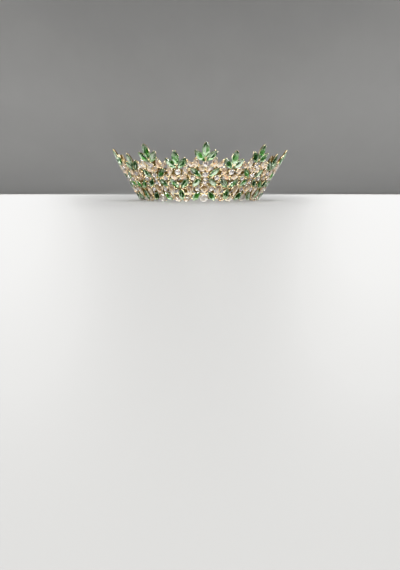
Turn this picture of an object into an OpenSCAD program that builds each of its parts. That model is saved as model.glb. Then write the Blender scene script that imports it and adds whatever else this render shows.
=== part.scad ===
// Bridal crown: a full ring of twenty soldered openwork motifs, tall and short by turns,
// set with navette, pear and round stones. Millimetres, +Z up, the front faces -Y.
// A place on the wall is [angle, height]: degrees round the crown from a motif's middle line,
// and millimetres up the sloping wall from its foot.

/* [Crown] */
// Diameter of the ring at its foot, over the fronts of the settings
base_d = 140; // [139:0.5:143]
// Lean of the wall outwards from upright, in degrees
flare = 30; // [26:1:32]

/* [Settings] */
// Thickness of the metal plate under each stone
plate_t = 1.2; // [0.9:0.1:1.6]
// Metal that shows round a stone, beyond its edge
rim = 0.4; // [0.35:0.05:0.6]

/* [Wires] */
// Diameter of the hoop wire that runs round the foot
hoop_d = 1.6; // [1.2:0.1:2.2]
// Height of the hoop up the wall
hoop_h = 7.5; // [6.5:0.5:9]
// Thickness of the flat struts and solder joints between the settings
strut_t = 0.8; // [0.5:0.1:0.9]

/* [Stones] */
// Height of a cut stone from its flat back to its table
stone_h = 2; // [1.4:0.1:2.6]
// Size of the table as a share of the stone
table_share = 0.5; // [0.4:0.05:0.6]
// Clearance between a stone's back and its plate
seat_gap = 0.12; // [0.1:0.01:0.2]

/* [Hidden] */

// Motifs round the ring, half of them tall
motif_pairs = 10;
pitch = 360 / (2 * motif_pairs);
base_r = base_d / 2;
// Facets on each side of a navette stone, and round the body of a pear stone
leaf_steps = 4;
pear_steps = 6;
// A pointed end draws back further than a side when an outline shrinks by the rim
tip_share = 1.5;
// Depths behind the fronts of the settings
strut_depth = 0.25;
hoop_depth = 1.3;
// How far below the wall's foot the lowest settings reach
foot_drop = 0.6;
lift = foot_drop * cos(flare);

// Set stones of a tall motif:
// outline, group, [angle, height] of its first tip, the same of its second, width, mirrored
TALL_STONES = [
    ["leaf", "crest", [0, 48.4], [0, 63.8], 7.8, false],
    ["leaf", "crest", [0.5, 44.5], [6.5, 55.5], 6.8, true],
    ["leaf", "petal", [5.4, 38.2], [6.1, 48.5], 5.6, true],
    ["leaf", "petal", [7.0, 38.4], [11.5, 44.2], 5.0, true],
    ["leaf", "small", [0.5, 33.7], [4.2, 40.2], 5.4, true],
    ["leaf", "star", [2.6, 27.6], [9.4, 37.7], 5.6, true],
    ["leaf", "star", [2.6, 26.3], [8.8, 17.4], 5.8, true],
    ["pear", "champagne_drop", [0, 19.9], [0, 9.5], 8.8, false],
    ["pear", "clear_drop", [0, -foot_drop], [0, 9.4], 8.8, false],
    ["leaf", "base", [2.9, 11.6], [9.2, 1.0], 6.6, true]
];
// Set stones of a short motif, in the same columns
SHORT_STONES = [
    ["leaf", "crest", [0, 40.8], [0, 56.2], 7.8, false],
    ["leaf", "crest", [0.5, 36.9], [6.7, 47.8], 6.8, true],
    ["leaf", "petal", [5.2, 30.3], [5.6, 40.2], 5.6, true],
    ["leaf", "small", [0.4, 26.4], [6.0, 29.6], 5.2, true],
    ["leaf", "base", [0.7, 15.9], [7.0, 25.9], 6.2, true],
    ["leaf", "base", [0, 15.4], [0, 1.2], 6.8, false],
    ["pear", "champagne_drop", [7.1, 19.0], [7.3, 5.2], 7.2, true],
    ["leaf", "small", [1.0, 0.4], [7.1, 5.2], 5.4, true]
];
// Round settings: angle, height, diameter, mirrored
TALL_ROUNDS = [
    [0, 41.3, 5.8, false],
    [0, 30.4, 5.8, false],
    [0, 25.9, 3.2, false],
    [0, 22.1, 4.4, false],
    [8.3, 27.1, 5.6, true],
    [4.8, 27.0, 2.2, true],
    [5.3, 14.9, 5.0, true]
];
SHORT_ROUNDS = [
    [0, 33.4, 6.4, false]
];
// Solder joints of a tall motif, discs where settings meet: angle, height, diameter, mirrored
TALL_JOINTS = [
    [0, 46, 4.4, false],
    [0, 34.5, 3.6, false],
    [11.4, 44.8, 2.6, true],
    [5.1, 47.8, 2.2, true],
    [7.3, 41.6, 2.2, true],
    [4.3, 40.1, 2.8, true],
    [6.8, 29.9, 2.2, true],
    [5.8, 27.3, 2.4, true],
    [8.8, 17.7, 2.6, true],
    [5.9, 17.6, 2.6, true],
    [3.1, 15.1, 2.2, true]
];
// Solder joints of a short motif, in the same columns
SHORT_JOINTS = [
    [0, 38.3, 4.4, false],
    [0, 27.2, 3.4, false],
    [0, 16.2, 4.2, false],
    [5.1, 39.7, 2.2, true],
    [5.2, 30.4, 2.4, true],
    [5.4, 17.8, 2.4, true],
    [7.1, 5.2, 2.4, true],
    [1.6, 3.2, 2.4, true]
];
// Struts of a tall motif: [angle, height] of both ends, width, mirrored
TALL_STRUTS = [
    [[0, 3], [0, 50.5], 1.8, false],
    [[-0.4, 27], [3.4, 27], 2.4, true],
    [[6, 35], [6.2, 39.6], 1.6, true],
    [[8.6, 36.4], [12.9, 35], 1.6, true],
    [[8.3, 27.2], [12.4, 28.8], 1.6, true],
    [[9.9, 27.8], [11.2, 24], 1.4, true],
    [[8, 19.6], [11.3, 23.6], 1.4, true],
    [[8.6, 2.8], [11.9, 4.4], 1.4, true]
];
// Struts of a short motif, in the same columns
SHORT_STRUTS = [
    [[0, 27], [0, 43], 1.8, false],
    [[0, 15.8], [5.4, 12.8], 1.2, true]
];

// Radius of the wall at a height up its slope
function wall_r(height) = base_r + height * sin(flare);

// Middle of two places on the wall
function middle(a, b) = (a + b) / 2;

// Way from one place to another along the wall: sideways and upwards
function way(a, b) = [(b[0] - a[0]) * PI / 180 * wall_r(middle(a, b)[1]), b[1] - a[1]];

// A place on the other side of the motif's middle line
function flipped(place) = [-place[0], place[1]];

// Radius of the two arcs of a navette
function leaf_arc_r(length, width) = (length * length + width * width) / (4 * width);

// Angle, seen from the middle of a pear's body, between its point and where a flank touches
function pear_flank(length, width) = acos(width / 2 / (length - width / 2));

// One side of a navette, chords of its arc from the lower tip to the upper one
function leaf_side(length, width, side) =
    let (r = leaf_arc_r(length, width), reach = asin(length / 2 / r))
    [for (i = [0 : leaf_steps - 1])
        let (a = reach * (2 * i / leaf_steps - 1))
        side * [r * cos(a) - r + width / 2, r * sin(a)]];

// Faceted navette: pointed at both ends
function leaf_outline(length, width) =
    concat(leaf_side(length, width, 1), leaf_side(length, width, -1));

// Faceted pear: round below, with straight flanks up to one point
function pear_outline(length, width) =
    let (r = width / 2, centre = r - length / 2, flank = pear_flank(length, width))
    concat([for (i = [0 : pear_steps])
        let (a = 90 + flank + (360 - 2 * flank) * i / pear_steps)
        [r * cos(a), centre + r * sin(a)]], [[0, length / 2]]);

function outline(shape, length, width) =
    shape == "pear" ? pear_outline(length, width) : leaf_outline(length, width);

// Stands its children on the wall at a place, with their +Y up the slope and +Z outwards
module on_wall(place, turn = 0) {
    rotate([0, 0, place[0]])
        translate([0, -wall_r(place[1]), lift + place[1] * cos(flare)])
            rotate([90 + flare, 0, 0])
                rotate([0, 0, -turn])
                    children();
}

// The same between two places, with the children's +Y from the first to the second
module along_wall(a, b) {
    w = way(a, b);
    on_wall(middle(a, b), atan2(w[0], w[1]))
        children();
}

// Navette plate outline: two arcs that meet in points
module leaf_shape(length, width) {
    r = leaf_arc_r(length, width);
    intersection() {
        translate([r - width / 2, 0])
            circle(r = r, $fn = 96);
        translate([width / 2 - r, 0])
            circle(r = r, $fn = 96);
    }
}

// Pear plate outline: a circle, and a triangle whose flanks touch it
module pear_shape(length, width) {
    r = width / 2;
    centre = r - length / 2;
    flank = pear_flank(length, width);
    translate([0, centre])
        circle(r = r, $fn = 48);
    polygon([
        [-r * sin(flank), centre + r * cos(flank)],
        [r * sin(flank), centre + r * cos(flank)],
        [0, length / 2]
    ]);
}

// Flat plate with a stone's outline, its front on the wall
module stone_plate(row, a, b) {
    length = norm(way(a, b));
    along_wall(a, b)
        translate([0, 0, -plate_t])
            linear_extrude(height = plate_t)
                if (row[0] == "pear")
                    pear_shape(length, row[4]);
                else
                    leaf_shape(length, row[4]);
}

// Cut stone: flat back, one crown facet for each side of its outline, and a table
module cut_stone(row, a, b) {
    length = norm(way(a, b)) - 2 * tip_share * rim;
    edge = outline(row[0], length, row[4] - 2 * rim);
    n = len(edge);
    along_wall(a, b)
        translate([0, 0, seat_gap])
            polyhedron(
                points = concat(
                    [for (p = edge) [p[0], p[1], 0]],
                    [for (p = edge) [p[0] * table_share, p[1] * table_share, stone_h]]),
                faces = concat(
                    [[for (i = [0 : n - 1]) i]],
                    [[for (i = [n - 1 : -1 : 0]) n + i]],
                    [for (i = [0 : n - 1]) [i, n + i, n + (i + 1) % n, (i + 1) % n]]));
}

// Round setting: a disc, its front on the wall
module round_plate(place, diameter) {
    on_wall(place)
        translate([0, 0, -plate_t])
            cylinder(d = diameter, h = plate_t, $fn = 32);
}

// Solder joint: a thinner disc, set back from the fronts of the plates it joins
module solder_joint(place, diameter) {
    on_wall(place)
        translate([0, 0, -strut_depth - strut_t])
            cylinder(d = diameter, h = strut_t, $fn = 32);
}

// Flat strut between two places, set back as far as the joints
module strut(a, b, width) {
    along_wall(a, b)
        translate([-width / 2, -norm(way(a, b)) / 2, -strut_depth - strut_t])
            cube([width, norm(way(a, b)), strut_t]);
}

// All metal of one motif about its middle line
module motif_metal(stones, rounds, joints, struts) {
    for (row = stones) {
        stone_plate(row, row[2], row[3]);
        if (row[5])
            stone_plate(row, flipped(row[2]), flipped(row[3]));
    }
    for (row = rounds) {
        round_plate([row[0], row[1]], row[2]);
        if (row[3])
            round_plate([-row[0], row[1]], row[2]);
    }
    for (row = joints) {
        solder_joint([row[0], row[1]], row[2]);
        if (row[3])
            solder_joint([-row[0], row[1]], row[2]);
    }
    for (row = struts) {
        strut(row[0], row[1], row[2]);
        if (row[3])
            strut(flipped(row[0]), flipped(row[1]), row[2]);
    }
}

// Round wire that every motif is soldered to near the foot
module hoop() {
    rotate_extrude($fn = 180)
        translate([wall_r(hoop_h) - hoop_depth * cos(flare),
                lift + hoop_h * cos(flare) + hoop_depth * sin(flare)])
            circle(d = hoop_d, $fn = 24);
}

// One group of cut stones of one motif
module motif_stones(stones, group) {
    for (row = stones)
        if (row[1] == group) {
            cut_stone(row, row[2], row[3]);
            if (row[5])
                cut_stone(row, flipped(row[2]), flipped(row[3]));
        }
}

// The same group on every motif of the ring
module ring_stones(group) {
    for (i = [0 : motif_pairs - 1]) {
        rotate([0, 0, 2 * i * pitch])
            motif_stones(TALL_STONES, group);
        rotate([0, 0, (2 * i + 1) * pitch])
            motif_stones(SHORT_STONES, group);
    }
}

// Soldered openwork: plates, struts and hoop in one piece
module crown_frame() {
    color("khaki")
        union() {
            for (i = [0 : motif_pairs - 1]) {
                rotate([0, 0, 2 * i * pitch])
                    motif_metal(TALL_STONES, TALL_ROUNDS, TALL_JOINTS, TALL_STRUTS);
                rotate([0, 0, (2 * i + 1) * pitch])
                    motif_metal(SHORT_STONES, SHORT_ROUNDS, SHORT_JOINTS, SHORT_STRUTS);
            }
            hoop();
        }
}

// Three green navettes at the top of every motif
module crest_leaf_stones() {
    color("mediumseagreen")
        ring_stones("crest");
}

// Four green navettes round the star of every tall motif
module star_leaf_stones() {
    color("seagreen")
        ring_stones("star");
}

// Green navettes of the lower half: two on a tall motif, three on a short one
module base_leaf_stones() {
    color("mediumaquamarine")
        ring_stones("base");
}

// Champagne navettes below the crests
module champagne_petal_stones() {
    color("peachpuff")
        ring_stones("petal");
}

// Champagne pears with their points down
module champagne_drop_stones() {
    color("wheat")
        ring_stones("champagne_drop");
}

// Clear pears at the foot of every tall motif, points up
module clear_drop_stones() {
    color("lavender")
        ring_stones("clear_drop");
}

crown_frame();
crest_leaf_stones();
star_leaf_stones();
base_leaf_stones();
champagne_petal_stones();
champagne_drop_stones();
clear_drop_stones();
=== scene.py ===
"""Bridal crown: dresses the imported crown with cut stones, cups, claws, wires and beads.

Lengths in the tables are millimetres. A place on the wall is (angle, height): degrees round the
crown from a motif's middle line, and millimetres up the sloping wall from its foot.
"""
import math
import random

import bmesh
import bpy
from mathutils import Matrix, Vector


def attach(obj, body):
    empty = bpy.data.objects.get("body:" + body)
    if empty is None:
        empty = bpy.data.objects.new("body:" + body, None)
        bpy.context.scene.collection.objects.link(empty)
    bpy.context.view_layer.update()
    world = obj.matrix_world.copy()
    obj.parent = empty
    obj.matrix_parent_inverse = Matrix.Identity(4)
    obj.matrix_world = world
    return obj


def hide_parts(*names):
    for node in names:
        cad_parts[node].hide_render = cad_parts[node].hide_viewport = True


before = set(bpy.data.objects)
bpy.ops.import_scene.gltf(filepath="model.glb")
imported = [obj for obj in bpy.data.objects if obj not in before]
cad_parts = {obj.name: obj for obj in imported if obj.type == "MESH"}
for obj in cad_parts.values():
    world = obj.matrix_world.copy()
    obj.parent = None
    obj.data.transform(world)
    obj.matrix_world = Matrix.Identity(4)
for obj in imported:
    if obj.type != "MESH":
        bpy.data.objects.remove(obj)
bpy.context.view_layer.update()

MM = 0.001
# Ring: radius of the wall's foot, how far the wall leans out, pairs of a tall and a short motif, and
# degrees from one motif to the next
BASE_R = 70.0
FLARE = math.radians(30.0)
MOTIF_PAIRS = 10
PITCH = 180.0 / MOTIF_PAIRS
# How far the lowest settings of the frame reach below the wall's foot, and how high that lifts it
FOOT_DROP = 0.6
LIFT = FOOT_DROP * math.cos(FLARE)
# The lowest settings start here, so that the rims of their stones just clear the floor
FOOT_TIP = -0.29
# How much more a tip of an outline moves in than its flanks do
TIP_SHARE = 1.5
# Share of a pear's outline that is the round end, the rest being its two straight flanks
PEAR_ROUND = 0.72
# Hoop wire: diameter, height up the wall, depth behind it, sides of the wire and steps round the ring
HOOP_D = 1.6
HOOP_H = 7.5
HOOP_DEPTH = 1.3
HOOP_SIDES = 10
HOOP_STEPS = 180
# Middle and thickness of struts behind the fronts of the plates, clear of the stones' points, and
# how wide they are drawn beside the frame's
STRUT_DEPTH = 0.95
STRUT_T = 0.6
STRUT_SHARE = 0.75
STRUT_SIDES = 8
# Middle and thickness of the solder joints
JOINT_DEPTH = 0.7
JOINT_T = 1.1
JOINT_SIDES = 10
JOINT_RINGS = 6
# Faces of joints, struts and hoop that look this much inwards get the second gold: matt, and painted
# darker as shade
WORK_BACK_NORMAL_Z = -0.2

# Heights of a stone in its cup, off the wall: its girdle, table and lowest point, and how thick the
# girdle is
GIRDLE_Z = 0.62
GIRDLE_T = 0.12
TABLE_Z = 1.95
CULET_Z = -0.12
# Settings narrower than this get a shallower stone and a cup with smaller insets
FULL_W = 4.4
# Facets closer to one plane than this are one facet
FLAT_ANGLE = math.radians(1.5)
# Slack in comparing heights
HAIR = 0.01
# Rings of a cup, from the recess in its back out to its walls, up to the lip and down inside: inset
# from the outline, height
CUP_RINGS = ((1.2, -1.06), (1.02, -1.2), (0.74, -1.2), (0.16, 0.1), (0.1, 0.5), (0.34, 0.5), (0.75, -0.25))
# Edges are sharp where faces meet at more than this, in radians
CUP_SHARP = 0.7
CLAW_SHARP = 1.2

# Claws: sides and diameter of the wire, how far inside the outline it stands and from what
# height, then its bends as rise, lean over the stone and change of thickness
CLAW_SIDES = 5
CLAW_D = 0.5
CLAW_INSET = -0.04
CLAW_FOOT_Z = -0.1
# Step along the outline that gives a claw its direction
CLAW_SPAN = 0.01
CLAW_STEPS = ((0.75, 0.0, 1.0), (0.24, 0.14, 1.0), (0.08, 0.3, 0.72))
# Faces that look this much inwards, from this height down, get the second gold: matt, and painted
# darker as shade
BACK_NORMAL_Z = 0.3
BACK_Z = -0.3
# Where claws stand on each outline, as shares of the way round it
CLAW_PLACES = {
    "leaf": (0.06, 0.44, 0.56, 0.94),
    "pear": (0.1, 0.3, 0.5, 0.7, 0.9),
    "round": (0.125, 0.375, 0.625, 0.875),
}
# Sides of a stone's outline
STONE_STEPS = {"leaf": 12, "pear": 12, "round": 8}
CUP_STEPS = {"leaf": 12, "pear": 14, "round": 12}
# How far the rim of a stone stays inside the outline of its setting
STONE_INSET = 0.08

# Outline, group, first tip, second tip, width over the setting, mirrored
TALL_STONES = [
    ("leaf", "crest", (0, 48.4), (0, 63.8), 7.8, False),
    ("leaf", "crest", (0.5, 44.5), (6.5, 55.5), 6.8, True),
    ("leaf", "petal", (5.4, 38.2), (6.1, 48.5), 5.6, True),
    ("leaf", "petal", (7.0, 38.4), (11.5, 44.2), 5.0, True),
    ("leaf", "small_petal", (0.5, 33.7), (4.2, 40.2), 5.4, True),
    ("leaf", "star", (2.6, 27.6), (9.4, 37.7), 5.6, True),
    ("leaf", "star", (2.6, 26.3), (8.8, 17.4), 5.8, True),
    ("pear", "champagne_drop", (0, 19.9), (0, 9.5), 8.8, False),
    ("pear", "clear_drop", (0, FOOT_TIP), (0, 9.4), 8.8, False),
    ("leaf", "base", (2.9, 11.6), (9.2, 1.0), 6.6, True),
    ("round", "round", (0, 41.3), None, 5.8, False),
    ("round", "round", (0, 30.4), None, 5.8, False),
    ("round", "round", (0, 25.9), None, 3.2, False),
    ("round", "round", (0, 22.1), None, 4.4, False),
    ("round", "round", (8.3, 27.1), None, 5.6, True),
    ("round", "tiny_round", (4.8, 27.0), None, 2.2, True),
    ("round", "round", (5.3, 14.9), None, 5.0, True),
]
SHORT_STONES = [
    ("leaf", "crest", (0, 40.8), (0, 56.2), 7.8, False),
    ("leaf", "crest", (0.5, 36.9), (6.7, 47.8), 6.8, True),
    ("leaf", "petal", (5.2, 30.3), (5.6, 40.2), 5.6, True),
    ("leaf", "small_petal", (0.4, 26.4), (6.0, 29.6), 5.2, True),
    ("leaf", "base", (0.7, 15.9), (7.0, 25.9), 6.2, True),
    ("leaf", "base", (0, 15.4), (0, 1.2), 6.8, False),
    ("pear", "champagne_drop", (7.1, 19.0), (7.3, 5.2), 7.2, True),
    ("leaf", "small_petal", (1.0, 0.6), (7.1, 5.2), 5.4, True),
    ("round", "round", (0, 33.4), None, 6.4, False),
]
# Angle, height, diameter, mirrored
TALL_JOINTS = [
    (0, 46, 4.4, False),
    (0, 34.5, 3.6, False),
    (11.4, 44.8, 2.6, True),
    (5.1, 47.8, 2.2, True),
    (7.3, 41.6, 2.2, True),
    (4.3, 40.1, 2.8, True),
    (6.8, 29.9, 2.2, True),
    (5.8, 27.3, 2.4, True),
    (8.8, 17.7, 2.6, True),
    (5.9, 17.6, 2.6, True),
    (3.1, 15.1, 2.2, True),
]
SHORT_JOINTS = [
    (0, 38.3, 4.4, False),
    (0, 27.2, 3.4, False),
    (0, 16.2, 4.2, False),
    (5.1, 39.7, 2.2, True),
    (5.2, 30.4, 2.4, True),
    (5.4, 17.8, 2.4, True),
    (7.1, 5.2, 2.4, True),
    (1.6, 3.2, 2.4, True),
]
# Both ends, width in the frame, mirrored
TALL_WIRES = [
    ((0, 3), (0, 50.5), 1.8, False),
    ((-0.4, 27), (3.4, 27), 2.4, True),
    ((6, 35), (6.2, 39.6), 1.6, True),
    ((8.6, 36.4), (12.9, 35), 1.6, True),
    ((8.3, 27.2), (12.4, 28.8), 1.6, True),
    ((9.9, 27.8), (11.2, 24), 1.4, True),
    ((8, 19.6), (11.3, 23.6), 1.4, True),
    ((8.6, 2.8), (11.9, 4.4), 1.4, True),
]
SHORT_WIRES = [
    ((0, 27), (0, 43), 1.8, False),
    ((0, 15.8), (5.4, 12.8), 1.2, True),
]
# Angle, height, diameter of the small balls that show between the settings, mirrored
TALL_BEADS = [
    (0, 47.3, 1.7, False),
    (0, 35.3, 1.8, False),
    (6.3, 37.6, 1.9, True),
    (10.4, 34.9, 1.7, True),
    (10.6, 28.3, 1.7, True),
    (10.3, 25.6, 1.6, True),
    (9.7, 21.8, 1.6, True),
    (7.7, 16.5, 1.5, True),
    (10.2, 3.4, 1.5, True),
]
SHORT_BEADS = [
    (0, 39.7, 1.7, False),
    (0, 28.0, 1.6, False),
    (5.2, 29.6, 1.7, True),
    (0, 16.6, 1.8, False),
    (4.6, 17.0, 1.6, True),
]


def wall_r(height):
    """Radius of the wall at a height up its slope."""
    return BASE_R + height * math.sin(FLARE)


def wall_matrix(place, turn=0.0):
    """Stands a local frame on the wall: +Y up the slope, +Z outwards. Millimetres."""
    angle, height = place
    return (Matrix.Rotation(math.radians(angle), 4, "Z")
            @ Matrix.Translation((0, -wall_r(height), LIFT + height * math.cos(FLARE)))
            @ Matrix.Rotation(math.pi / 2 + FLARE, 4, "X")
            @ Matrix.Rotation(-turn, 4, "Z"))


def between(a, b):
    """Length from place a to place b, and the frame in the middle with +Y from a to b."""
    middle = ((a[0] + b[0]) / 2, (a[1] + b[1]) / 2)
    across = math.radians(b[0] - a[0]) * wall_r(middle[1])
    up = b[1] - a[1]
    return math.hypot(across, up), wall_matrix(middle, math.atan2(across, up))


def flipped(place):
    """The same place on the other side of the motif."""
    return (-place[0], place[1])


def outline_point(shape, length, width, t):
    """A point of a stone's outline; t runs once round it, from the lower end to the right."""
    half_l, half_w = length / 2, width / 2
    if shape == "leaf":
        r = (half_l ** 2 + half_w ** 2) / (2 * half_w)
        reach = math.asin(half_l / r)
        side = 1 if t < 0.5 else -1
        a = reach * (4 * (t % 0.5) - 1)
        return Vector((side * (r * math.cos(a) - r + half_w), side * r * math.sin(a), 0))
    if shape == "pear":
        centre = half_w - half_l
        flank = math.acos(half_w / (half_l - centre))
        straight = (1 - PEAR_ROUND) / 2
        last = (1 + PEAR_ROUND) / 2
        s = (t + 0.5) % 1.0
        tip = Vector((0, half_l, 0))
        if s < straight:
            touch = Vector((-half_w * math.sin(flank), centre + half_w * math.cos(flank), 0))
            return tip.lerp(touch, s / straight)
        if s > last:
            touch = Vector((half_w * math.sin(flank), centre + half_w * math.cos(flank), 0))
            return touch.lerp(tip, (s - last) / straight)
        k = (s - straight) / PEAR_ROUND
        a = math.pi / 2 + flank + (2 * math.pi - 2 * flank) * k
        return Vector((half_w * math.cos(a), centre + half_w * math.sin(a), 0))
    a = 2 * math.pi * t - math.pi / 2
    return Vector((half_w * math.cos(a), half_w * math.sin(a), 0))


def inset_matrix(shape, length, width, inset, z=0.0):
    """Shrinks an outline evenly by an inset, more at its tips, and lifts it to a height."""
    tips = inset if shape == "round" else TIP_SHARE * inset
    shrunk = Matrix.Diagonal((1 - 2 * inset / width, 1 - 2 * tips / length, 1, 1))
    return Matrix.Translation((0, 0, z)) @ shrunk


# Rings of the cut above and below the girdle: share of the outline, share of the height, turn as a
# share of a facet, sides per side of the outline
CROWN_RINGS = ((0.80, 0.58, 0.5, 1.0), (0.50, 1.0, 0.0, 0.5))
PAVILION_RINGS = ((0.66, 0.5, 0.5, 1.0),)
# Half the length of the keel under a leaf, as a share of its length
KEEL = 0.26


def cut_stone(shape, length, width, steps):
    """A fancy cut as the hull of its rings: girdle, crown, table and pavilion."""
    heart = Vector((0, width / 2 - length / 2 if shape == "pear" else 0, 0))
    shallow = min(1.0, width / FULL_W)
    crown_h = (TABLE_Z - GIRDLE_Z) * shallow
    pavilion_h = (GIRDLE_Z - CULET_Z) * shallow
    rim = inset_matrix(shape, length, width, STONE_INSET)
    bm = bmesh.new()

    def ring(share, z, offset=0.0, density=1.0):
        count = round(steps * density)
        for i in range(count):
            p = rim @ outline_point(shape, length, width, (i + offset) / count % 1.0)
            bm.verts.new(heart + (p - heart) * share + Vector((0, 0, z)))

    ring(1.0, GIRDLE_Z)
    ring(1.0, GIRDLE_Z + GIRDLE_T)
    for share, height, offset, density in CROWN_RINGS:
        ring(share, GIRDLE_Z + GIRDLE_T + height * crown_h, offset, density)
    for share, height, offset, density in PAVILION_RINGS:
        ring(share, GIRDLE_Z - height * pavilion_h, offset, density)
    culets = (-KEEL * length, KEEL * length) if shape == "leaf" else (heart.y,)
    for y in culets:
        bm.verts.new((0, y, GIRDLE_Z - pavilion_h))
    bmesh.ops.convex_hull(bm, input=bm.verts)
    bmesh.ops.dissolve_limit(bm, angle_limit=FLAT_ANGLE, verts=bm.verts, edges=bm.edges)
    bmesh.ops.recalc_face_normals(bm, faces=bm.faces)
    return bm


def mark_stone(bm, length, width, rng):
    """Marks the facets of a stone.

    UVs run across it and from its inner tip to its outer one. Each facet gets a tone of its own, which
    picks some facets for painted shade and some for painted highlights.
    Those that reach the girdle are marked as rim, which is painted paler as a highlight, and those below
    it are foiled.
    """
    uv = bm.loops.layers.uv.new("stone")
    tone = bm.faces.layers.float.new("facet_tone")
    rim = bm.faces.layers.float.new("facet_rim")
    bm.faces.layers.float.new("stone_tone")
    for face in bm.faces:
        face[tone] = rng.random()
        face[rim] = max(vert.co.z for vert in face.verts) > GIRDLE_Z - HAIR
        face.material_index = int(face.calc_center_median().z < GIRDLE_Z - HAIR)
        for loop in face.loops:
            loop[uv].uv = (loop.vert.co.x / width + 0.5, loop.vert.co.y / length + 0.5)


def soften(bm, sharp_from):
    """Smooth shading that keeps edges sharp where faces meet at more than an angle."""
    for face in bm.faces:
        face.smooth = True
    for edge in bm.edges:
        edge.smooth = not edge.is_manifold or edge.calc_face_angle(0) < sharp_from


def cup(shape, length, width, steps):
    """Setting with a stamped back, walls that open towards the stone, a lip and a hollow."""
    slim = min(1.0, width / FULL_W)
    bm = bmesh.new()
    outline = [outline_point(shape, length, width, i / steps) for i in range(steps)]
    back = bm.faces.new([bm.verts.new(point) for point in outline])
    ring = list(back.edges)
    place = inset_matrix(shape, length, width, slim * CUP_RINGS[0][0], CUP_RINGS[0][1])
    bmesh.ops.transform(bm, matrix=place, verts=back.verts)
    for inset, z in CUP_RINGS[1:]:
        grown = bmesh.ops.extrude_edge_only(bm, edges=ring)["geom"]
        ring = [e for e in grown if isinstance(e, bmesh.types.BMEdge)]
        goal = inset_matrix(shape, length, width, slim * inset, z)
        bmesh.ops.transform(bm, matrix=goal @ place.inverted(),
                            verts=[v for v in grown if isinstance(v, bmesh.types.BMVert)])
        place = goal
    bmesh.ops.contextual_create(bm, geom=ring)
    bmesh.ops.recalc_face_normals(bm, faces=bm.faces)
    soften(bm, CUP_SHARP)
    return bm


def claw(shape, length, width, t):
    """Round prong that stands on the rim of a cup at t and bends over the stone's edge."""
    foot = outline_point(shape, length, width, t)
    ahead = outline_point(shape, length, width, (t + CLAW_SPAN) % 1.0)
    behind = outline_point(shape, length, width, (t - CLAW_SPAN) % 1.0)
    along = (ahead - behind).normalized()
    inward = Vector((-along.y, along.x, 0))
    bm = bmesh.new()
    bmesh.ops.create_circle(bm, segments=CLAW_SIDES, radius=CLAW_D / 2, cap_ends=False)
    ring = list(bm.edges)
    for rise, lean, share in CLAW_STEPS:
        grown = bmesh.ops.extrude_edge_only(bm, edges=ring)["geom"]
        ring = [e for e in grown if isinstance(e, bmesh.types.BMEdge)]
        ring_verts = [v for v in grown if isinstance(v, bmesh.types.BMVert)]
        middle = sum((v.co for v in ring_verts), Vector()) / len(ring_verts)
        bmesh.ops.scale(bm, vec=(share, share, share), space=Matrix.Translation(-middle), verts=ring_verts)
        bmesh.ops.translate(bm, vec=(lean, 0, rise), verts=ring_verts)
    bmesh.ops.contextual_create(bm, geom=ring)
    bmesh.ops.contextual_create(bm, geom=[e for e in bm.edges if e.is_boundary])
    stand = Matrix((
        (inward.x, along.x, 0, foot.x + inward.x * CLAW_INSET),
        (inward.y, along.y, 0, foot.y + inward.y * CLAW_INSET),
        (0, 0, 1, CLAW_FOOT_Z),
        (0, 0, 0, 1)))
    bmesh.ops.transform(bm, matrix=stand, verts=bm.verts)
    bmesh.ops.recalc_face_normals(bm, faces=bm.faces)
    soften(bm, CLAW_SHARP)
    return bm


def ring_settings():
    """Every setting of the crown: its row, its length and the frame it stands in."""
    for motif in range(2 * MOTIF_PAIRS):
        turn = Matrix.Rotation(math.radians(motif * PITCH), 4, "Z")
        for row in SHORT_STONES if motif % 2 else TALL_STONES:
            _, _, first, second, width, mirrored = row
            for flip in (False, True) if mirrored else (False,):
                a = flipped(first) if flip else first
                if second is None:
                    yield row, width, turn @ wall_matrix(a)
                else:
                    length, stand = between(a, flipped(second) if flip else second)
                    yield row, length, turn @ stand


def ring_rows(tall_rows, short_rows):
    """Every row of a table on every motif, with +1 for its own side and -1 for the mirrored one."""
    for motif in range(2 * MOTIF_PAIRS):
        turn = Matrix.Rotation(math.radians(motif * PITCH), 4, "Z")
        for row in short_rows if motif % 2 else tall_rows:
            for side in (1, -1) if row[-1] else (1,):
                yield row, side, turn


def as_template(bm):
    """Keeps a finished shape as a mesh that add_copy can repeat."""
    mesh = bpy.data.meshes.new("template")
    bm.to_mesh(mesh)
    bm.free()
    return mesh


def add_copy(bm, template, matrix):
    """Adds a template to a mesh at a place given in millimetres; returns the new faces."""
    verts_before = len(bm.verts)
    faces_before = len(bm.faces)
    bm.from_mesh(template)
    bm.verts.ensure_lookup_table()
    bm.faces.ensure_lookup_table()
    bmesh.ops.transform(bm, matrix=matrix, verts=bm.verts[verts_before:])
    return bm.faces[faces_before:]


def new_piece(name, bm, materials, replaced=None):
    """Makes the finished object of a piece, in metres, and ties it to the crown."""
    bmesh.ops.scale(bm, vec=(MM, MM, MM), verts=bm.verts)
    mesh = bpy.data.meshes.new(name)
    bm.to_mesh(mesh)
    bm.free()
    for material in materials:
        mesh.materials.append(material)
    piece = bpy.data.objects.new(name, mesh)
    bpy.context.scene.collection.objects.link(piece)
    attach(piece, "root")
    if replaced:
        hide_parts(replaced)
    return piece


def set_stones(name, group, materials, replaced=None):
    """One piece of all stones of a group round the ring."""
    rng = random.Random(name)
    bm = bmesh.new()
    bm.loops.layers.uv.new("stone")
    bm.faces.layers.float.new("facet_tone")
    bm.faces.layers.float.new("facet_rim")
    tone = bm.faces.layers.float.new("stone_tone")
    templates = {}
    for row, length, stand in ring_settings():
        shape, row_group, _, _, width, _ = row
        if row_group != group:
            continue
        if row not in templates:
            stone = cut_stone(shape, length, width, STONE_STEPS[shape])
            mark_stone(stone, length, width, rng)
            templates[row] = as_template(stone)
        own_tone = rng.random()
        for face in add_copy(bm, templates[row], stand):
            face[tone] = own_tone
    return new_piece(name, bm, materials, replaced)


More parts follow.
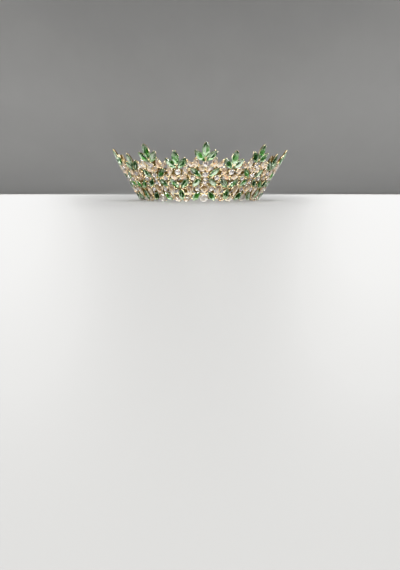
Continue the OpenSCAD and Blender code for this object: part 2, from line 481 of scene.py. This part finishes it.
def mark_backs(bm):
    """Gives the faces at the back of a piece the second of its materials: matt gold painted dark as shade.
    """
    for face in bm.faces:
        if face.normal.z < BACK_NORMAL_Z and face.calc_center_median().z < BACK_Z:
            face.material_index = 1


def set_cups(gold):
    """The cups of all settings with their claws."""
    bm = bmesh.new()
    templates = {}
    for row, length, stand in ring_settings():
        shape, _, _, _, width, _ = row
        if row not in templates:
            setting = cup(shape, length, width, CUP_STEPS[shape])
            for t in CLAW_PLACES[shape]:
                prong = as_template(claw(shape, length, width, t))
                add_copy(setting, prong, Matrix.Identity(4))
            mark_backs(setting)
            templates[row] = as_template(setting)
        add_copy(bm, templates[row], stand)
    return new_piece("setting_cups", bm, gold)


def solder_joint(diameter):
    """Flattened blob of solder."""
    bm = bmesh.new()
    bmesh.ops.create_uvsphere(bm, u_segments=JOINT_SIDES, v_segments=JOINT_RINGS, radius=diameter / 2)
    bmesh.ops.scale(bm, vec=(1, 1, JOINT_T / diameter), verts=bm.verts)
    return bm


def bead(diameter):
    """Small ball between settings."""
    bm = bmesh.new()
    bmesh.ops.create_icosphere(bm, subdivisions=2, radius=diameter / 2)
    return bm


def wire(length, width):
    """Strut along Y, a flattened wire."""
    bm = bmesh.new()
    bmesh.ops.create_cone(bm, cap_ends=True, segments=STRUT_SIDES, radius1=width / 2, radius2=width / 2,
                          depth=length)
    bmesh.ops.rotate(bm, matrix=Matrix.Rotation(math.pi / 2, 3, "X"), verts=bm.verts)
    bmesh.ops.scale(bm, vec=(1, 1, STRUT_T / width), verts=bm.verts)
    return bm


def hoop():
    """Thin wire round the ring, behind the lowest settings."""
    bm = bmesh.new()
    bmesh.ops.create_circle(bm, segments=HOOP_SIDES, radius=HOOP_D / 2)
    r = wall_r(HOOP_H) - HOOP_DEPTH * math.cos(FLARE)
    z = LIFT + HOOP_H * math.cos(FLARE) + HOOP_DEPTH * math.sin(FLARE)
    bmesh.ops.transform(bm, matrix=Matrix.Translation((r, 0, z)) @ Matrix.Rotation(math.pi / 2, 4, "X"),
                        verts=bm.verts)
    bmesh.ops.spin(bm, geom=bm.edges[:] + bm.verts[:], axis=(0, 0, 1), cent=(0, 0, 0), angle=2 * math.pi,
                   steps=HOOP_STEPS, use_merge=True)
    bmesh.ops.recalc_face_normals(bm, faces=bm.faces)
    return bm


def solder_work(gold):
    """Joints, struts, beads and hoop that hold the cups together."""
    bm = bmesh.new()

    def add(template_bm, matrix):
        for face in template_bm.faces:
            face.smooth = True
        template_bm.normal_update()
        for face in template_bm.faces:
            # Inward faces get the matt gold with painted shade
            face.material_index = int(face.normal.z < WORK_BACK_NORMAL_Z)
        add_copy(bm, as_template(template_bm), matrix)

    sunk = Matrix.Translation((0, 0, -STRUT_DEPTH))
    joint_sunk = Matrix.Translation((0, 0, -JOINT_DEPTH))
    for row, side, turn in ring_rows(TALL_JOINTS, SHORT_JOINTS):
        add(solder_joint(row[2]), turn @ wall_matrix((side * row[0], row[1])) @ joint_sunk)
    for row, side, turn in ring_rows(TALL_WIRES, SHORT_WIRES):
        a, b = row[0], row[1]
        if side < 0:
            a, b = flipped(a), flipped(b)
        length, stand = between(a, b)
        add(wire(length, STRUT_SHARE * row[2]), turn @ stand @ sunk)
    for row, side, turn in ring_rows(TALL_BEADS, SHORT_BEADS):
        add(bead(row[2]), turn @ wall_matrix((side * row[0], row[1])))
    add(hoop(), Matrix.Identity(4))
    return new_piece("solder_work", bm, gold, "crown_frame")


# Colours of a foil: along the stone from its inner tip, a paler one painted on the rim facets as a
# highlight, then of single facets: dark for painted shade, bright for painted highlights and paler stones
FOIL_COLOURS = ("Inner", "Middle", "Outer", "Rim", "Dark", "Bright")
# Where along a stone the inner colour turns into the middle one, and that into the outer one
INNER_TO_MIDDLE = (0.08, 0.42)
MIDDLE_TO_OUTER = (0.52, 0.9)
# How much of the rim's colour, painted paler as a highlight, its facets take, and the share of the
# facets with painted shade left among them
RIM_HIGHLIGHT_STRENGTH = 0.85
RIM_DARK_SHARE = 0.25
# Stones above this tone turn paler, up to the palest at 1
PALE_FROM = 0.35
# Deals the facets' tones out anew for each stone
STONE_STEP = 7.0


class Nodes:
    """Adds nodes to a tree and joins them up."""

    def __init__(self, tree):
        self.tree = tree

    def add(self, kind, inputs=None, **settings):
        """A new node; an input is either a value or the socket that feeds it."""
        node = self.tree.nodes.new(kind)
        for key, value in settings.items():
            setattr(node, key, value)
        for key, value in (inputs or {}).items():
            if isinstance(value, bpy.types.NodeSocket):
                self.tree.links.new(value, node.inputs[key])
            else:
                node.inputs[key].default_value = value
        return node

    def mix(self, share, a, b):
        """Colour between a and b."""
        return self.add("ShaderNodeMix", {0: share, 6: a, 7: b}, data_type="RGBA").outputs[2]

    def math(self, operation, *values):
        """Result of a sum on plain values."""
        return self.add("ShaderNodeMath", dict(enumerate(values)), operation=operation).outputs[0]

    def vector_math(self, operation, inputs):
        """Result of a sum on vectors."""
        return self.add("ShaderNodeVectorMath", inputs, operation=operation).outputs[0]

    def noise(self, place, scale, detail):
        """Fine clouds; the scale counts them to the metre."""
        inputs = {"Vector": place, "Scale": scale, "Detail": detail}
        return self.add("ShaderNodeTexNoise", inputs).outputs["Fac"]

    def surface(self, inputs):
        """Principled surface of the material, with what is given in place of its own values."""
        shader = self.add("ShaderNodeBsdfPrincipled", inputs)
        self.add("ShaderNodeOutputMaterial", {"Surface": shader.outputs["BSDF"]})

    def ramp(self, value, low, high, out_low=0.0, out_high=1.0):
        """Value rescaled from one range to another, and kept inside it."""
        return self.add("ShaderNodeMapRange", {
            "Value": value, "From Min": low, "From Max": high, "To Min": out_low, "To Max": out_high,
        }).outputs["Result"]


def socket(group, name, kind, way="INPUT"):
    """Adds an input or output to a node group."""
    group.interface.new_socket(name, in_out=way, socket_type="NodeSocket" + kind)


# Painted reflections: dark and bright angular slivers, as the facets would mirror into each other,
# painted into the foil's colour: how many fit across and along a stone, the share of dark and of
# bright ones, and how strong each is
SLIVER_COUNT = (6.5, 3.0, 0.0)
SLIVERS_DARK = 0.24
SLIVERS_BRIGHT = 0.22
SLIVER_DARK_STRENGTH = 0.75
SLIVER_BRIGHT_STRENGTH = 0.85
# Steps that set the slivers of one stone apart from those of the next
SLIVER_SHIFT = (37.0, 23.0, 0.0)


def stone_colour_group():
    """Colour of a foiled stone.

    Three colours run from its inner tip to its outer one, and a paler one is painted on the facets at
    its rim as a highlight. Dark and bright facets and slivers, painted shade, highlights and reflections,
    differ from stone to stone, and some stones are paler as a whole.
    """
    group = bpy.data.node_groups.new("stone_colour", "ShaderNodeTree")
    for name in FOIL_COLOURS:
        socket(group, name, "Color")
    for name in ("Painted shade share", "Painted highlight share", "Paleness"):
        socket(group, name, "Float")
    socket(group, "Colour", "Color", "OUTPUT")
    socket(group, "Rim mask", "Float", "OUTPUT")
    n = Nodes(group)
    given = n.add("NodeGroupInput").outputs
    uv = n.add("ShaderNodeUVMap", uv_map="stone").outputs["UV"]
    along = n.add("ShaderNodeSeparateXYZ", {"Vector": uv}).outputs["Y"]
    facet = n.add("ShaderNodeAttribute", attribute_name="facet_tone").outputs["Fac"]
    stone = n.add("ShaderNodeAttribute", attribute_name="stone_tone").outputs["Fac"]
    inner_half = n.mix(n.ramp(along, *INNER_TO_MIDDLE), given["Inner"], given["Middle"])
    whole = n.mix(n.ramp(along, *MIDDLE_TO_OUTER), inner_half, given["Outer"])
    rim = n.add("ShaderNodeAttribute", attribute_name="facet_rim").outputs["Fac"]
    # Painted highlight: the facets at the rim take the paler rim colour
    whole = n.mix(n.math("MULTIPLY", rim, RIM_HIGHLIGHT_STRENGTH), whole, given["Rim"])
    pale = n.math("MULTIPLY", n.ramp(stone, PALE_FROM, 1.0), given["Paleness"])
    whole = n.mix(pale, whole, given["Bright"])
    # Painted shade and highlights: some facets take the dark colour, others the bright one
    draw = n.math("FRACT", n.math("MULTIPLY_ADD", stone, STONE_STEP, facet))
    painted_shade_share = n.math("MULTIPLY", given["Painted shade share"], n.ramp(rim, 0.0, 1.0, 1.0, RIM_DARK_SHARE))
    dark = n.math("LESS_THAN", draw, painted_shade_share)
    bright = n.math("LESS_THAN", n.math("SUBTRACT", 1.0, draw), given["Painted highlight share"])
    colour = n.mix(bright, n.mix(dark, whole, given["Dark"]), given["Bright"])
    # Painted reflections: dark and bright slivers laid over the facets
    own_place = n.vector_math("SCALE", {0: SLIVER_SHIFT, "Scale": stone})
    place = n.vector_math("MULTIPLY_ADD", {0: uv, 1: SLIVER_COUNT, 2: own_place})
    cells = n.add("ShaderNodeTexVoronoi", {"Vector": place, "Scale": 1.0}, voronoi_dimensions="2D",
                  distance="MANHATTAN")
    sliver = n.add("ShaderNodeSeparateColor", {"Color": cells.outputs["Color"]}).outputs["Red"]
    shade = n.math("MULTIPLY", n.math("LESS_THAN", sliver, SLIVERS_DARK), SLIVER_DARK_STRENGTH)
    glint = n.math("MULTIPLY", n.math("GREATER_THAN", sliver, 1.0 - SLIVERS_BRIGHT), SLIVER_BRIGHT_STRENGTH)
    colour = n.mix(glint, n.mix(shade, colour, given["Dark"]), given["Bright"])
    n.add("NodeGroupOutput", {"Colour": colour, "Rim mask": rim})
    return group


def new_material(name):
    """An empty material and what adds its nodes."""
    material = bpy.data.materials.new(name)
    material.use_nodes = True
    material.node_tree.nodes.clear()
    return material, Nodes(material.node_tree)


# Noises: how many clouds to the metre, and their detail
SMEARS = (260.0, 3.0)
TARNISH = (180.0, 4.0)
GRAIN = (1500.0, 2.0)
MOTTLE = (6.0, 3.0)
# Between which values of its noise each effect sets in
SMEAR_SPAN = (0.35, 0.75)
TARNISH_SPAN = (0.35, 0.7)
DULLING_SPAN = (0.3, 0.75)
MOTTLE_SPAN = (0.3, 0.7)
# Depth of the gold's fine grain in metres, and how strong it is
GRAIN_DEPTH = 0.00004
GRAIN_STRENGTH = 0.25
# Lead glass: its index of refraction and how rough its smears are
LEAD_GLASS_IOR = 1.58
SMEAR_ROUGHNESS = 0.05
# Roughness of the foil at a stone's rim
RIM_ROUGHNESS = 0.4


def foil(name, group, colours, painted_shade_share, painted_highlight_share, paleness, roughness):
    """Coloured mirror at the back of a stone."""
    material, n = new_material(name)
    inputs = {key: colour + (1,) for key, colour in zip(FOIL_COLOURS, colours)}
    inputs.update({"Painted shade share": painted_shade_share, "Painted highlight share": painted_highlight_share, "Paleness": paleness})
    colour = n.add("ShaderNodeGroup", node_tree=group)
    for key, value in inputs.items():
        colour.inputs[key].default_value = value
    n.surface({
        "Base Color": colour.outputs["Colour"], "Metallic": 1.0,
        "Roughness": n.ramp(colour.outputs["Rim mask"], 0.0, 1.0, roughness, RIM_ROUGHNESS),
    })
    return material


def glass(name, tint):
    """Clear front of a stone, with faint smears."""
    material, n = new_material(name)
    place = n.add("ShaderNodeTexCoord").outputs["Object"]
    smears = n.noise(place, *SMEARS)
    n.surface({
        "Base Color": tint + (1,), "Transmission Weight": 1.0, "IOR": LEAD_GLASS_IOR,
        "Roughness": n.ramp(smears, *SMEAR_SPAN, 0.0, SMEAR_ROUGHNESS),
    })
    return material


def gold_plate(name, bright, tarnished, roughness_low, roughness_high):
    """Gold plate with small tarnish clouds and a hammered-soft surface."""
    material, n = new_material(name)
    place = n.add("ShaderNodeTexCoord").outputs["Object"]
    clouds = n.noise(place, *TARNISH)
    grain = n.noise(place, *GRAIN)
    bump = n.add("ShaderNodeBump", {"Height": grain, "Strength": GRAIN_STRENGTH, "Distance": GRAIN_DEPTH})
    n.surface({
        "Base Color": n.mix(n.ramp(clouds, *TARNISH_SPAN), bright + (1,), tarnished + (1,)),
        "Metallic": 1.0,
        "Roughness": n.ramp(clouds, *DULLING_SPAN, roughness_low, roughness_high),
        "Normal": bump.outputs["Normal"],
    })
    return material


# Colours of each foil, in the order of FOIL_COLOURS
GREEN = ((0.27, 0.72, 0.14), (0.145, 0.49, 0.09), (0.80, 0.85, 0.76),
         (0.49, 0.62, 0.42), (0.035, 0.12, 0.035), (0.86, 0.95, 0.82))
CHAMPAGNE = ((0.98, 0.69, 0.34), (1.0, 0.76, 0.52), (1.0, 0.85, 0.70),
             (1.0, 0.88, 0.76), (0.76, 0.53, 0.33), (1.0, 0.96, 0.89))
CHAMPAGNE_PEAR = ((0.97, 0.87, 0.77), (0.94, 0.70, 0.41), (0.88, 0.63, 0.32),
                  (0.98, 0.88, 0.79), (0.66, 0.46, 0.26), (1.0, 0.96, 0.88))
CLEAR = ((0.86, 0.79, 0.73), (0.80, 0.72, 0.70), (0.86, 0.80, 0.76),
         (0.92, 0.86, 0.83), (0.52, 0.45, 0.44), (1.0, 0.98, 0.96))
CLEAR_PEAR = ((0.90, 0.85, 0.81), (0.86, 0.80, 0.76), (0.86, 0.66, 0.36),
              (0.93, 0.88, 0.84), (0.48, 0.42, 0.38), (1.0, 0.98, 0.95))
# Foils: colours, share of facets with painted shade, of ones with painted highlights, paleness, roughness
FOILS = {
    "green": (GREEN, 0.26, 0.18, 0.22, 0.12),
    "champagne": (CHAMPAGNE, 0.1, 0.32, 0.34, 0.2),
    "champagne_pear": (CHAMPAGNE_PEAR, 0.18, 0.24, 0.3, 0.26),
    "clear": (CLEAR, 0.18, 0.35, 0.4, 0.22),
    "clear_pear": (CLEAR_PEAR, 0.16, 0.35, 0.3, 0.38),
}
GLASS_TINTS = {"green": (0.94, 1.0, 0.91), "champagne": (1.0, 0.985, 0.96), "clear": (1.0, 1.0, 0.99)}
# Pieces of stones: name, group of the settings, glass, foil, the solids that they stand for
STONE_PIECES = (
    ("crest_leaves", "crest", "green", "green", "crest_leaf_stones"),
    ("star_leaves", "star", "green", "green", "star_leaf_stones"),
    ("base_leaves", "base", "green", "green", "base_leaf_stones"),
    ("champagne_petals", "petal", "champagne", "champagne", "champagne_petal_stones"),
    ("small_petals", "small_petal", "champagne", "champagne", None),
    ("champagne_drops", "champagne_drop", "champagne", "champagne_pear", "champagne_drop_stones"),
    ("clear_drops", "clear_drop", "clear", "clear_pear", "clear_drop_stones"),
    ("round_stones", "round", "clear", "clear", None),
    ("tiny_round_stones", "tiny_round", "champagne", "champagne", None),
)


def build_crown():
    """All pieces of the crown with their materials."""
    gold = [gold_plate("pale_gold", (0.95, 0.84, 0.57), (0.82, 0.68, 0.41), 0.16, 0.34),
            # Matt gold for backs and inward faces, its colour painted dark as shade
            gold_plate("matt_painted_shade_gold", (0.19, 0.14, 0.068), (0.125, 0.09, 0.045), 0.34, 0.5)]
    group = stone_colour_group()
    fronts = {key: glass(key + "_glass", tint) for key, tint in GLASS_TINTS.items()}
    foils = {key: foil(key + "_foil", group, *values) for key, values in FOILS.items()}
    for name, settings, front, back, replaced in STONE_PIECES:
        set_stones(name, settings, [fronts[front], foils[back]], replaced)
    set_cups(gold)
    solder_work(gold)


# Camera: the photograph's turn, lens and framing, just above the floor. Distance and height are in
# metres, the lens and the picture in pixels, and the sensor's height in millimetres.
CAMERA_TURN = math.radians(-3.66)
CAMERA_DISTANCE = 0.470
CAMERA_HEIGHT = 0.010
FOCAL_PX = 373.0
PHOTO_W = 400
PHOTO_H = 570
# Where the middle of the crown stands in the picture, in pixels, and in the scene
CROWN_CENTRE_PX = (199.5, 176.5)
CROWN_CENTRE = Vector((0, 0, 0.028))
SENSOR = 36.0


def place_camera():
    """Points the camera so that the crown's middle falls on its pixel."""
    data = bpy.data.cameras.new("camera")
    data.sensor_fit = "VERTICAL"
    data.sensor_height = SENSOR
    data.lens = FOCAL_PX / PHOTO_H * SENSOR
    data.clip_start = 0.01
    camera = bpy.data.objects.new("camera", data)
    bpy.context.scene.collection.objects.link(camera)
    camera.location = (CAMERA_DISTANCE * math.sin(CAMERA_TURN), -CAMERA_DISTANCE * math.cos(CAMERA_TURN),
                       CAMERA_HEIGHT)
    look = (CROWN_CENTRE - camera.location).to_track_quat("-Z", "Y")
    down = math.atan((PHOTO_H / 2 - CROWN_CENTRE_PX[1]) / FOCAL_PX)
    across = math.atan((PHOTO_W / 2 - CROWN_CENTRE_PX[0]) / FOCAL_PX)
    camera.rotation_euler = (look.to_matrix().to_4x4() @ Matrix.Rotation(-down, 4, "X")
                             @ Matrix.Rotation(-across, 4, "Y")).to_euler()
    bpy.context.scene.camera = camera


# Studio floor, in metres: radius of its flat part, of the curve at its edge, and height of its wall
FLOOR_R = 1.3
FLOOR_CURVE_R = 0.5
FLOOR_TOP = 1.7
# Steps up its curve and round it
FLOOR_CURVE_STEPS = 10
FLOOR_TURN_STEPS = 72
# Its two colours, hardly apart, and its roughness
FLOOR_COLOUR = (0.35, 0.347, 0.34, 1)
FLOOR_MOTTLE = (0.3395, 0.33659, 0.3298, 1)
FLOOR_ROUGHNESS = 0.6


def floor_paper():
    """Matt pale paper."""
    material, n = new_material("pale_floor")
    place = n.add("ShaderNodeTexCoord").outputs["Object"]
    mottle = n.ramp(n.noise(place, *MOTTLE), *MOTTLE_SPAN)
    n.surface({"Base Color": n.mix(mottle, FLOOR_COLOUR, FLOOR_MOTTLE), "Roughness": FLOOR_ROUGHNESS})
    return material


def studio_floor():
    """Round pale floor that curves up into a backdrop all round."""
    bm = bmesh.new()
    profile = [(0.0, 0.0), (FLOOR_R, 0.0)]
    for i in range(1, FLOOR_CURVE_STEPS + 1):
        a = math.pi / 2 * i / FLOOR_CURVE_STEPS
        profile.append((FLOOR_R + FLOOR_CURVE_R * math.sin(a), FLOOR_CURVE_R * (1 - math.cos(a))))
    profile.append((FLOOR_R + FLOOR_CURVE_R, FLOOR_TOP))
    points = [bm.verts.new((r, 0, z)) for r, z in profile]
    edges = [bm.edges.new(pair) for pair in zip(points, points[1:])]
    bmesh.ops.spin(bm, geom=edges + points, axis=(0, 0, 1), cent=(0, 0, 0), angle=2 * math.pi,
                   steps=FLOOR_TURN_STEPS, use_merge=True)
    bmesh.ops.remove_doubles(bm, verts=bm.verts, dist=1e-5)
    bmesh.ops.recalc_face_normals(bm, faces=bm.faces)
    if min(bm.faces, key=lambda face: face.calc_center_median().length).normal.z < 0:
        bmesh.ops.reverse_faces(bm, faces=bm.faces)
    for face in bm.faces:
        face.smooth = True
    mesh = bpy.data.meshes.new("floor")
    bm.to_mesh(mesh)
    bm.free()
    mesh.materials.append(floor_paper())
    floor = bpy.data.objects.new("floor", mesh)
    bpy.context.scene.collection.objects.link(floor)


def softbox(name, place, aim, size, watts):
    """Rectangular area light at a place, turned to what it aims at."""
    data = bpy.data.lights.new(name, "AREA")
    data.shape = "RECTANGLE"
    data.size, data.size_y = size
    data.energy = watts
    light = bpy.data.objects.new(name, data)
    bpy.context.scene.collection.objects.link(light)
    light.location = place
    light.rotation_euler = (Vector(aim) - Vector(place)).to_track_quat("-Z", "Y").to_euler()


# Lights: name, place, what it aims at, width and height in metres, watts. Most stand low, because
# the stones face outwards and down.
SOFTBOXES = (
    ("key", (-0.6, -1.0, 0.3), (0, 0, 0.03), (0.35, 0.3), 14),
    ("fill", (0.9, -0.75, 0.28), (0, 0, 0.03), (0.3, 0.3), 6),
    ("top", (0.0, 0.0, 1.2), (0, 0, 0), (1.0, 1.0), 9),
    ("low", (0.1, -1.15, 0.18), (0, 0, 0.04), (0.6, 0.08), 6),
    ("front", (-0.1, -1.2, 0.34), (0, 0, 0.04), (0.9, 0.4), 5),
    ("back_left", (-0.7, 0.95, 0.42), (0, 0, 0.03), (0.45, 0.3), 9),
    ("back_right", (0.75, 0.9, 0.4), (0, 0, 0.03), (0.4, 0.3), 9),
    ("glint_left", (-0.4, -0.95, 0.1), (0, 0, 0.04), (0.03, 0.03), 0.9),
    ("glint_right", (0.35, -1.0, 0.13), (0, 0, 0.04), (0.03, 0.03), 0.9),
    ("glint_back", (0.1, 0.95, 0.12), (0, 0, 0.04), (0.03, 0.03), 0.9),
)
# Even light from all round
WORLD_COLOUR = (0.80, 0.82, 0.85, 1)
WORLD_STRENGTH = 0.35


def studio_light():
    """Softboxes, even light and a plain view of the colours."""
    for row in SOFTBOXES:
        softbox(*row)
    world = bpy.data.worlds.new("studio")
    world.use_nodes = True
    world.node_tree.nodes["Background"].inputs["Color"].default_value = WORLD_COLOUR
    world.node_tree.nodes["Background"].inputs["Strength"].default_value = WORLD_STRENGTH
    bpy.context.scene.world = world
    bpy.context.scene.view_settings.view_transform = "Khronos PBR Neutral"


place_camera()
build_crown()
studio_floor()
studio_light()
